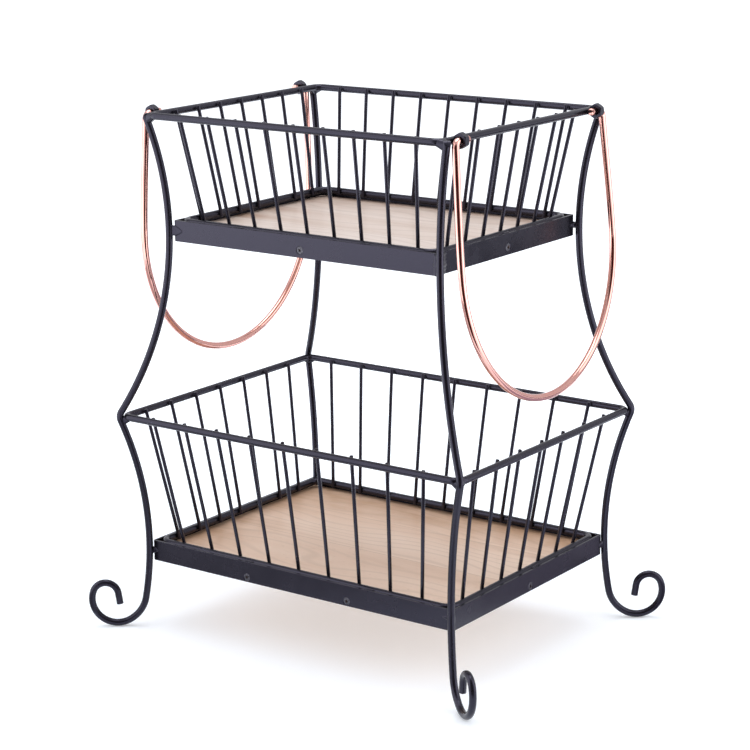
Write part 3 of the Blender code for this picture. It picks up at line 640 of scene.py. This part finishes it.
for node, (side, count, foot_out, top_out, foot_half, top_half, shift) in WIRE_ROWS.items():
    upper = node.startswith("upper")
    foot_height, top_height = UPPER_WIRE_HEIGHTS if upper else LOWER_WIRE_HEIGHTS
    across = 1 if side in ("front", "rear") else 0
    rim = UPPER_RIM if upper else LOWER_RIM
    rod = UPPER_BASE_ROD if upper else LOWER_BASE_ROD
    welds = ((rim[across] / 2, rim[2], -1), (rod[across], rod[2], 1))
    parts = []
    for index in range(count):
        share = 2 * index / (count - 1) - 1
        foot = side_place(side, share * foot_half + shift, foot_out, foot_height)
        top = side_place(side, share * top_half + shift, top_out, top_height)
        if not parts:
            bpy.ops.object.select_all(action="DESELECT")
            bpy.ops.mesh.primitive_cylinder_add(
                vertices=WIRE_SIDES, radius=WIRE_DIAMETER / 2, depth=(top - foot).length,
                location=(0, 0, (top - foot).length / 2),
            )
            wire = bpy.context.object
            bpy.ops.object.transform_apply(location=True, rotation=True, scale=True)
            round_edges(wire, WIRE_TIP_ROUND, 2)
            bpy.ops.object.shade_smooth_by_angle(angle=SMOOTH_ANGLE)
            bpy.ops.object.select_all(action="DESELECT")
            bpy.ops.mesh.primitive_uv_sphere_add(segments=12, ring_count=8, radius=1, scale=SPOT_SIZE)
            spot = bpy.context.object
            bpy.ops.object.transform_apply(location=True, rotation=True, scale=True)
            bpy.ops.object.shade_smooth()
        lie = (top - foot).to_track_quat("Z", "Y").to_matrix().to_4x4()
        parts.append(copy_turned(wire, "wire", Matrix.Translation(foot) @ lie))
        flat_turn = Matrix.Rotation(math.atan2(SIDES[side][0], -SIDES[side][1]), 4, "Z")
        for other_out, other_height, toward in welds:
            up_share = (other_height - foot_height) / (top_height - foot_height)
            along = share * (foot_half + (top_half - foot_half) * up_share) + shift
            place = side_place(side, along, other_out + toward * ROD_DIAMETER / 2, other_height)
            place = place.lerp(foot.lerp(top, up_share), SPOT_SINK_SHARE)
            parts.append(copy_turned(spot, "spot", Matrix.Translation(place) @ flat_turn))
    bpy.data.objects.remove(wire)
    bpy.data.objects.remove(spot)
    row = join_up(parts)
    row.name = row.data.name = "dressed_" + node
    row.data.materials.clear()
    row.data.materials.append(black_coat)
    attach(row, "frame")
    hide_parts(node)

# Boards: strips of pale hardwood glued edge to edge, sanded and sealed, dropped into each band and held by
# the screws. The grain runs along the basket. The upper board is paler than the lower one, and both carry
# painted shade toward the rear and the left end, tinted brown like the bands' shadow and reflection.
STRIP_WIDTH = 0.066
JOINT_WIDTH = 0.00045
STRIP_SHIFT = (4.0, 1.3, 0.7)
GRAIN_LONG_SHARES = (0.13, 0.05, 0.22, 0.36)
# Where the painted shade toward the rear and toward the left end begins, and where it is full.
PAINTED_SHADE_REAR = (0.030, 0.095)
PAINTED_SHADE_LEFT_END = (-0.075, -0.135)


def board_wood(name, pale, mid, dark, joint_place, seed):
    """Strips that differ in tone, with wandering grain, drawn lines, fine fibres, flecks and painted shade
    at the rear and left end.
    """
    material, shader, add, lay = node_maker(name)
    shader.inputs["Coat Weight"].default_value = 0.25
    shader.inputs["Coat Roughness"].default_value = 0.22
    place = add("ShaderNodeTexCoord").outputs["Object"]
    axes = add("ShaderNodeSeparateXYZ", place).outputs
    strip = worked(add, "MULTIPLY_ADD", axes["Y"], 1 / STRIP_WIDTH, 8 - joint_place / STRIP_WIDTH)
    own = add("ShaderNodeTexWhiteNoise", noise_dimensions="1D", W=worked(add, "FLOOR", strip)).outputs
    shift = add("ShaderNodeVectorMath", own["Color"], STRIP_SHIFT, place, operation="MULTIPLY_ADD")
    shifted = shift.outputs["Vector"]
    pull = []
    for long_share in GRAIN_LONG_SHARES:
        start = (seed, 1.7 * seed, 0.6 * seed)
        stretch = add("ShaderNodeMapping", Vector=shifted, Location=start, Scale=(long_share, 1.0, 1.0))
        pull.append(stretch.outputs["Vector"])
    cloud = noise(add, pull[0], 30.0, 4.0, Roughness=0.55, Distortion=0.5)
    fibre = noise(add, pull[1], 420.0, 4.0, Roughness=0.6)
    flecks = noise(add, pull[2], 950.0, 1.0)
    blotch = noise(add, shifted, 26.0, 3.0, Roughness=0.6)
    rings = add("ShaderNodeTexWave", Vector=pull[3], bands_direction="Y", Scale=26.0, Distortion=24.0)
    rings.inputs["Detail"].default_value = 1.0
    rings.inputs["Detail Scale"].default_value = 0.55
    # Painted shade: the board is darker toward the rear and the left end, a brown painted shadow and
    # reflection of the bands, broken up by the blotches.
    edge = worked(add, "MAXIMUM", mapped(add, axes["Y"], *PAINTED_SHADE_REAR), mapped(add, axes["X"], *PAINTED_SHADE_LEFT_END))
    painted_shade = worked(add, "MULTIPLY", blotch, edge)
    total = -0.01
    for source, weight in ((cloud, 0.72), (fibre, 0.16), (own["Value"], 0.26), (painted_shade, -0.62)):
        total = worked(add, "MULTIPLY_ADD", source, weight, total)
    tone = colour_ramp(add, total, [(0.22, dark), (0.50, mid), (0.82, pale)])
    from_middle = worked(add, "ABSOLUTE", worked(add, "SUBTRACT", worked(add, "FRACT", strip), 0.5))
    joint = mapped(add, from_middle, 0.5 - JOINT_WIDTH / STRIP_WIDTH, 0.5, 0.0, 0.70)
    lines = worked(add, "MULTIPLY", mapped(add, rings.outputs["Fac"], 0.78, 1.0, 0.0, 0.34), cloud)
    drawn = worked(add, "MAXIMUM", mapped(add, flecks, 0.66, 0.78, 0.0, 0.30), lines)
    marks = worked(add, "MAXIMUM", drawn, joint)
    shade = (*[0.55 * level for level in dark], 1)
    marked = add("ShaderNodeMix", data_type="RGBA", Factor=marks, A=tone, B=shade)
    lay(marked.outputs["Result"], mapped(add, fibre, 0.0, 1.0, 0.40, 0.60), fibre, 0.25, 0.0001)
    return material


pale_board = board_wood(
    "pale_sealed_board", (0.61, 0.53, 0.48), (0.55, 0.45, 0.39), (0.38, 0.25, 0.18), 0.038, 0.37
)
tan_board = board_wood(
    "tan_sealed_board", (0.77, 0.61, 0.49), (0.69, 0.50, 0.375), (0.52, 0.33, 0.21), -0.016, 1.91
)
for node, wood in (("upper_board", pale_board), ("lower_board", tan_board)):
    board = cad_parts[node]
    board.data.materials.clear()
    board.data.materials.append(wood)

# Screws: countersunk steel wood screws with a cross recess, blackened on the head and a little rusty down
# in the recess, driven through the band into the board's edge.
SCREW_SHANK_DIAMETER = 0.0026
SCREW_LENGTH = 0.0140
SCREW_POINT = 0.0025
RECESS_LENGTH = 0.0034
RECESS_WIDTH = 0.0009
RECESS_DEPTH = 0.0011
HEAD_RIM = 0.0003
HEAD_DOME = 0.00025
HEAD_SINK = 0.0003
DOME_STEPS = ((0.95, 0.35), (0.95, 0.2), (0.8, 0.2), (0.6, 0.15), (0.4, 0.1))
POINT_SHARE = 0.06
RECESS_TAPER = 0.55
SCREW_TURNS = (68, 5, 30, 52, 12, 77, 40, 8, 61, 23)


def screw_metal(name, deep, middle, worn, metallic, rough_low, rough_high):
    """Blackened or rusty steel with a fine mottle."""
    material, shader, add, lay = node_maker(name)
    shader.inputs["Metallic"].default_value = metallic
    cloud = noise(add, add("ShaderNodeTexCoord").outputs["Object"], 900.0, 4.0)
    tone = colour_ramp(add, cloud, [(0.35, deep), (0.55, middle), (0.72, worn)])
    lay(tone, mapped(add, cloud, 0.0, 1.0, rough_low, rough_high), cloud, 0.4, 0.0001)
    return material


black_steel = screw_metal(
    "blackened_screw_steel", (0.045, 0.044, 0.052), (0.085, 0.083, 0.100), (0.15, 0.145, 0.17),
    0.85, 0.30, 0.46
)
rusty_recess = screw_metal(
    "rust_in_screw_recess", (0.012, 0.006, 0.004), (0.060, 0.024, 0.010), (0.16, 0.07, 0.03), 0.0, 0.75, 0.95
)
bpy.ops.object.select_all(action="DESELECT")
bpy.ops.mesh.primitive_cylinder_add(
    vertices=40, radius=SCREW_HEAD_DIAMETER / 2, depth=HEAD_RIM, location=(0, 0, -HEAD_RIM / 2)
)
screw = bpy.context.object
screw.name = screw.data.name = "screw_pattern"
bpy.ops.object.transform_apply(location=True, rotation=True, scale=True)
bpy.ops.object.mode_set(mode="EDIT")
bpy.ops.mesh.select_mode(type="FACE")
for top_side in (False, True):
    bpy.ops.mesh.select_all(action="DESELECT")
    shape = bmesh.from_edit_mesh(screw.data)
    for face in shape.faces:
        face.select_set(len(face.verts) > 4 and (face.normal.z > 0) == top_side)
    bmesh.update_edit_mesh(screw.data)
    if top_side:
        for narrower, rise in DOME_STEPS:
            run_straight((0, 0, HEAD_DOME * rise))
            bpy.ops.transform.resize(value=(narrower, narrower, 1), center_override=(0, 0, 0))
    else:
        slim = SCREW_SHANK_DIAMETER / SCREW_HEAD_DIAMETER
        run_straight((0, 0, HEAD_RIM - SINK_DEPTH))
        bpy.ops.transform.resize(value=(slim, slim, 1), center_override=(0, 0, 0))
        run_straight((0, 0, SCREW_POINT + SINK_DEPTH - SCREW_LENGTH))
        run_straight((0, 0, -SCREW_POINT))
        bpy.ops.transform.resize(value=(POINT_SHARE, POINT_SHARE, 1), center_override=(0, 0, 0))
bpy.ops.mesh.select_all(action="SELECT")
bpy.ops.mesh.normals_make_consistent(inside=False)
bpy.ops.object.mode_set(mode="OBJECT")
recesses = []
for size in ((RECESS_LENGTH, RECESS_WIDTH), (RECESS_WIDTH, RECESS_LENGTH)):
    bpy.ops.object.select_all(action="DESELECT")
    bpy.ops.mesh.primitive_cube_add(size=1, location=(0, 0, 0), scale=(*size, 2 * RECESS_DEPTH))
    recess = bpy.context.object
    bpy.ops.object.transform_apply(location=True, rotation=True, scale=True)
    bpy.ops.object.mode_set(mode="EDIT")
    bpy.ops.mesh.select_all(action="DESELECT")
    shape = bmesh.from_edit_mesh(recess.data)
    for face in shape.faces:
        face.select_set(face.normal.z < -0.5)
    bmesh.update_edit_mesh(recess.data)
    bpy.ops.transform.resize(value=(RECESS_TAPER, RECESS_TAPER, 1), center_override=(0, 0, 0))
    bpy.ops.object.mode_set(mode="OBJECT")
    recess.data.materials.append(rusty_recess)
    recesses.append(recess)
screw.data.materials.append(black_steel)
bpy.ops.object.select_all(action="DESELECT")
screw.select_set(True)
cut_away(screw, recesses)
bpy.ops.object.shade_smooth_by_angle(angle=SMOOTH_ANGLE)
turns = iter(SCREW_TURNS)
for tier in ("upper", "lower"):
    for name, side, place in screw_places(tier):
        lie = Vector((*SIDES[side], 0)).to_track_quat("Z", "Y").to_matrix().to_4x4()
        spin_turn = Matrix.Rotation(math.radians(next(turns)), 4, "Z")
        sunk = Matrix.Translation(place - HEAD_SINK * Vector((*SIDES[side], 0)))
        piece = copy_turned(screw, "dressed_" + tier + "_screw_" + name, sunk @ lie @ spin_turn)
        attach(piece, "frame")
        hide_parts(tier + "_screw_" + name)
bpy.data.objects.remove(screw)

# Nuts: hexagon nuts welded on edge to the outside of the upper rim's short sides, coated with the frame.
# The handles turn loosely in them.
NUT_ACROSS_FLATS = 0.0100
NUT_THICKNESS = 0.0052
NUT_CHAMFER = 0.0009
NUT_BORE = 0.0064
NUT_OUT = 0.13885
NUT_HEIGHT = 0.40285
NUT_FACE = 0.0930331
NUT_EDGE_ROUND = 0.00018
NUT_EDGE_ANGLE = math.radians(25)
CHAMFER_OVERRUN = 0.0001
NUT_WELD_STEP = 0.0016
NUT_WELD_DROP = 0.0020
NUT_WELD_SIZE = (0.0013, 0.0012, 0.0012)

nut_corner = NUT_ACROSS_FLATS / 2 / math.cos(math.pi / 6)
bpy.ops.object.select_all(action="DESELECT")
bpy.ops.mesh.primitive_cylinder_add(vertices=6, radius=nut_corner, depth=NUT_THICKNESS)
nut = bpy.context.object
nut.name = nut.data.name = "nut_pattern"
nut.data.materials.append(black_coat)
bpy.ops.object.select_all(action="DESELECT")
bpy.ops.mesh.primitive_cylinder_add(vertices=64, radius=nut_corner + CHAMFER_OVERRUN, depth=NUT_THICKNESS)
chamfer = bpy.context.object
round_edges(chamfer, NUT_CHAMFER, 1)
bpy.context.view_layer.objects.active = nut
shaping = nut.modifiers.new("chamfer", "BOOLEAN")
shaping.operation = "INTERSECT"
shaping.solver = "EXACT"
shaping.object = chamfer
bpy.ops.object.modifier_apply(modifier="chamfer")
bpy.data.objects.remove(chamfer)
bpy.ops.object.select_all(action="DESELECT")
bpy.ops.mesh.primitive_cylinder_add(vertices=48, radius=NUT_BORE / 2, depth=2 * NUT_THICKNESS)
bore = bpy.context.object
bore.data.materials.append(black_coat)
bpy.ops.object.select_all(action="DESELECT")
nut.select_set(True)
cut_away(nut, [bore])
round_edges(nut, NUT_EDGE_ROUND, 2, NUT_EDGE_ANGLE)
even_shading(nut)
for corner, (x, y) in CORNERS.items():
    place = Vector((x * NUT_OUT, y * (NUT_FACE - NUT_THICKNESS / 2), NUT_HEIGHT))
    upright = Matrix.Rotation(math.pi / 2, 4, "X")
    piece = copy_turned(nut, "dressed_nut_" + corner, Matrix.Translation(place) @ upright)
    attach(piece, "frame")
    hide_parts("nut_" + corner)
    between = (UPPER_RIM[0] / 2 + ROD_DIAMETER / 2) * x
    lumps = []
    for step in (-1, 0, 1):
        spot = (between, place.y + step * NUT_WELD_STEP, NUT_HEIGHT - NUT_WELD_DROP)
        lumps.append([(spot, NUT_WELD_SIZE)])
    seat = weld_metal("nut_weld_" + corner, lumps)
    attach(seat, "frame")
bpy.data.objects.remove(nut)

# Handles: round rod bent into a long bow, with short stubs turned in at its ends, polished and plated in
# bright rose gold. The stubs pass through the nuts and the handle hangs and swings from them.
HANDLE_DIAMETER = 0.0054
STUB_TIP = 0.0825331
BEND_START = 0.0930331
BEND_RADIUS = 0.0050
ARM_LENGTH = 0.0914
BOW_WIDEST = 0.1022331
BOW_DEPTH = 0.1048
HANDLE_TIP_ROUND = 0.0009
LEFT_SWING = 1.0
RIGHT_SWING = 5.2
ROUND_SHARE = 0.5523
STUB_PULL = 0.002

plating, shader, add, lay = node_maker("polished_rose_gold")
shader.inputs["Metallic"].default_value = 1.0
place = add("ShaderNodeTexCoord").outputs["Object"]
cloud = noise(add, place, 55.0, 4.0)
tone = colour_ramp(add, cloud, [(0.3, (0.72, 0.37, 0.32)), (0.7, (0.78, 0.43, 0.38))])
lay(tone, mapped(add, cloud, 0.3, 0.7, 0.06, 0.11), noise(add, place, 260.0, 1.0), 0.02, 0.0001)

bend_pull = ROUND_SHARE * BEND_RADIUS
arm_top = Vector((BEND_START + BEND_RADIUS, -BEND_RADIUS))
arm_foot = Vector((BOW_WIDEST, -ARM_LENGTH))
arm_pull = (arm_foot - arm_top) / 3
bow_foot = -ARM_LENGTH - BOW_DEPTH
bow_pull = ROUND_SHARE * BOW_WIDEST
half_plan = [
    ((STUB_TIP, 0), (STUB_TIP - STUB_PULL, 0), (STUB_TIP + STUB_PULL, 0)),
    ((BEND_START, 0), (BEND_START - STUB_PULL, 0), (BEND_START + bend_pull, 0)),
    (tuple(arm_top), (arm_top.x, arm_top.y + bend_pull), tuple(arm_top + arm_pull)),
    (tuple(arm_foot), (BOW_WIDEST, -ARM_LENGTH + arm_pull.length),
     (BOW_WIDEST, -ARM_LENGTH - ROUND_SHARE * BOW_DEPTH)),
    ((0, bow_foot), (bow_pull, bow_foot), (-bow_pull, bow_foot)),
]
plan = half_plan + [
    ((-point[0], point[1]), (-after[0], after[1]), (-before[0], before[1]))
    for point, before, after in reversed(half_plan[:-1])
]
for name, x, swing in (("left_handle", -1, LEFT_SWING), ("right_handle", 1, RIGHT_SWING)):
    bpy.ops.object.select_all(action="DESELECT")
    bpy.ops.curve.primitive_bezier_curve_add()
    handle = bpy.context.object
    handle.name = handle.data.name = "dressed_" + name
    points = handle.data.splines[0].bezier_points
    points.add(len(plan) - len(points))
    for point, (place, before, after) in zip(points, plan):
        point.handle_left_type = point.handle_right_type = "FREE"
        point.co = (0, *place)
        point.handle_left = (0, *before)
        point.handle_right = (0, *after)
    handle.data.resolution_u = 32
    handle.data.bevel_depth = HANDLE_DIAMETER / 2
    handle.data.bevel_resolution = 6
    handle.data.use_fill_caps = True
    handle.location = (x * NUT_OUT, 0, NUT_HEIGHT)
    handle.rotation_euler = (0, math.radians(-x * swing), 0)
    bpy.ops.object.convert(target="MESH")
    handle = bpy.context.object
    bpy.ops.object.transform_apply(location=True, rotation=True, scale=True)
    bpy.ops.object.mode_set(mode="EDIT")
    close_rod(handle, HANDLE_TIP_ROUND)
    handle.data.materials.clear()
    handle.data.materials.append(plating)
    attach(handle, name)
    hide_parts(name)

# Studio: a plain white floor that runs out of sight and glows, faintly near the basket and more farther out,
# a bright white surround with a dark gap where the camera stands, and soft lamps at both sides and above.
# Cards and flags that only show in reflections give the painted rods and the polished handles something
# dark, grey or bright to mirror.
FLOOR_SIZE = 30.0
FLOOR_DROP = 0.0001
FLOOR_COLOUR = (0.82, 0.88, 0.94)
FLOOR_GLOW = (0.15, 0.80, 0.22, 0.60)
VIEW_TURN = math.radians(35.92)
VIEW_RISE = math.radians(14.17)
VIEW_ROLL = math.radians(-0.53)
VIEW_DISTANCE = 1.72324
AIM_HEIGHT = 0.2003
AIM_SHIFT = 0.00065
LENS_LENGTH = 107.79
SENSOR_WIDTH = 36.0
LAMP_REACH = 1.25
LAMP_HEIGHT = 0.85
CARD_HEIGHT = 0.0002
CARD_STEP = 0.0001
CORNER_CARD_PLACE = (0, -0.326, 0.19)
GAP_RISE = 0.15
GAP_EDGE = (0.70, 0.90)
GAP_COLOUR = (0.05, 0.015, 0.012)
SURROUND_COLOUR = (0.80, 0.80, 0.83)
SURROUND_GLOW = 1.05
WHITE = (1.0, 1.0, 1.0)

bpy.ops.object.select_all(action="DESELECT")
bpy.ops.mesh.primitive_plane_add(size=FLOOR_SIZE, location=(0, 0, -FLOOR_DROP))
floor = bpy.context.object
floor.name = "studio_floor"
floor_paint, floor_shader, add = node_maker("white_studio_floor")[:3]
floor_shader.inputs["Base Color"].default_value = (*FLOOR_COLOUR, 1)
floor_shader.inputs["Roughness"].default_value = 0.9
floor_shader.inputs["Specular IOR Level"].default_value = 0.1
floor_shader.inputs["Emission Color"].default_value = (*WHITE, 1)
# The floor glows as painted light: faintly near the basket, which lightens the shadow under it, and more
# strongly farther out.
spot = add("ShaderNodeTexCoord").outputs["Object"]
from_object = add("ShaderNodeVectorMath", spot, operation="LENGTH").outputs["Value"]
far_glow = mapped(add, from_object, *FLOOR_GLOW)
floor_paint.node_tree.links.new(far_glow, floor_shader.inputs["Emission Strength"])
floor.data.materials.append(floor_paint)

forward = Vector((
    -math.sin(VIEW_TURN) * math.cos(VIEW_RISE),
    math.cos(VIEW_TURN) * math.cos(VIEW_RISE),
    -math.sin(VIEW_RISE),
))
level = Vector((math.cos(VIEW_TURN), math.sin(VIEW_TURN), 0))
above = level.cross(forward)
sideways = math.cos(VIEW_ROLL) * level + math.sin(VIEW_ROLL) * above
upward = -math.sin(VIEW_ROLL) * level + math.cos(VIEW_ROLL) * above
target = Vector((0, 0, AIM_HEIGHT)) - AIM_SHIFT * level
stand = target - VIEW_DISTANCE * forward
lens = bpy.data.cameras.new("studio_camera")
lens.lens = LENS_LENGTH
lens.sensor_width = SENSOR_WIDTH
camera = bpy.data.objects.new("studio_camera", lens)
bpy.context.scene.collection.objects.link(camera)
camera.matrix_world = Matrix((
    (sideways.x, upward.x, -forward.x, stand.x),
    (sideways.y, upward.y, -forward.y, stand.y),
    (sideways.z, upward.z, -forward.z, stand.z),
    (0, 0, 0, 1),
))
bpy.context.scene.camera = camera


def soft_lamp(name, place, aim, size, power):
    """A large soft panel lamp."""
    lamp = bpy.data.lights.new(name, "AREA")
    lamp.shape = "RECTANGLE"
    lamp.size, lamp.size_y = size
    lamp.energy = power
    lamp.color = WHITE
    holder = bpy.data.objects.new(name, lamp)
    bpy.context.scene.collection.objects.link(holder)
    holder.location = place
    holder.rotation_euler = (Vector(aim) - Vector(place)).to_track_quat("-Z", "Y").to_euler()
    holder.visible_camera = False


for name, turn, size, power in (
    ("left_panel", -42, (1.30, 1.7), 10.0), ("right_panel", 106, (1.0, 1.7), 9.0),
):
    where = LAMP_REACH * Vector((math.sin(math.radians(turn)), -math.cos(math.radians(turn)), 0))
    where.z = LAMP_HEIGHT
    soft_lamp(name, where, (0, 0, LAMP_HEIGHT), size, power)
soft_lamp("top_panel", (-0.1, 0.15, 1.9), (0, 0, 0.1), (1.2, 1.2), 16.0)

for number, (name, turn, near, far, size, colour, glow) in enumerate((
    ("dark_front_flag", 36.0, 0.60, 9.00, 4.6, (0.045, 0.010, 0.007), 0),
    ("grey_rear_flag", 150.0, 0.72, 2.40, 1.5, (0.13, 0.12, 0.16), 0),
    ("grey_right_flag", 121.0, 0.22, 0.60, 0.56, (0.35, 0.32, 0.42), 0),
    ("grey_left_flag", -27.0, 0.22, 0.60, 0.68, (0.42, 0.42, 0.44), 0),
    ("white_left_card", -1.0, 0.62, 4.00, 3.0, (0.8, 0.8, 0.8), 1.3),
    ("white_right_card", 97.0, 0.62, 3.00, 1.8, (0.8, 0.8, 0.8), 1.5),
    ("grey_far_left_flag", -34.0, 1.00, 1.75, 0.75, (0.8, 0.8, 0.82), 0.28),
    ("dark_corner_card", 39.4, 0.14, 0.52, 0.25, (0.045, 0.005, 0.003), 0),
)):
    bpy.ops.object.select_all(action="DESELECT")
    card_middle = (near + far) / 2
    bpy.ops.mesh.primitive_plane_add(size=1, location=(0, -card_middle, CARD_HEIGHT + CARD_STEP * number))
    flag = bpy.context.object
    flag.name = flag.data.name = name
    flag.scale = (size, far - near, 1)
    bpy.ops.object.transform_apply(location=True, rotation=True, scale=True)
    upright = name == "dark_corner_card"
    for corner in flag.data.vertices:
        if corner.co.y > -card_middle and not upright:
            corner.co.x *= near / far
    if upright:
        stood_up = Matrix.Translation(CORNER_CARD_PLACE) @ Matrix.Rotation(math.pi / 2, 4, "X")
        flag.data.transform(stood_up @ Matrix.Translation((0, card_middle, 0)))
    flag.data.transform(Matrix.Rotation(math.radians(turn), 4, "Z"))
    cloth, flag_shader = node_maker(name + "_cloth")[:2]
    flag_shader.inputs["Base Color"].default_value = (*colour, 1)
    flag_shader.inputs["Roughness"].default_value = 1.0
    flag_shader.inputs["Emission Color"].default_value = (*WHITE, 1)
    flag_shader.inputs["Emission Strength"].default_value = glow
    flag.data.materials.append(cloth)
    flag.visible_camera = False
    flag.visible_diffuse = False
    flag.visible_shadow = False

world = bpy.data.worlds.new("white_studio")
bpy.context.scene.world = world
world.use_nodes = True
world.node_tree.nodes.clear()
add = node_adder(world.node_tree)
gap_way = Vector((math.sin(VIEW_TURN), -math.cos(VIEW_TURN), GAP_RISE)).normalized()
surround = add("ShaderNodeTexCoord").outputs["Generated"]
toward_camera = add("ShaderNodeVectorMath", surround, gap_way, operation="DOT_PRODUCT").outputs["Value"]
gap = add("ShaderNodeMapRange", toward_camera, *GAP_EDGE, interpolation_type="SMOOTHSTEP").outputs["Result"]
around = add("ShaderNodeMix", data_type="RGBA", Factor=gap)
around.inputs["A"].default_value = (*SURROUND_COLOUR, 1)
around.inputs["B"].default_value = (*GAP_COLOUR, 1)
dim = add("ShaderNodeBackground", around.outputs["Result"]).outputs["Background"]
bright = add("ShaderNodeBackground", (*WHITE, 1), SURROUND_GLOW).outputs["Background"]
seen = add("ShaderNodeLightPath").outputs["Is Camera Ray"]
add("ShaderNodeOutputWorld", Surface=add("ShaderNodeMixShader", seen, dim, bright).outputs["Shader"])
bpy.context.scene.view_settings.view_transform = "Standard"
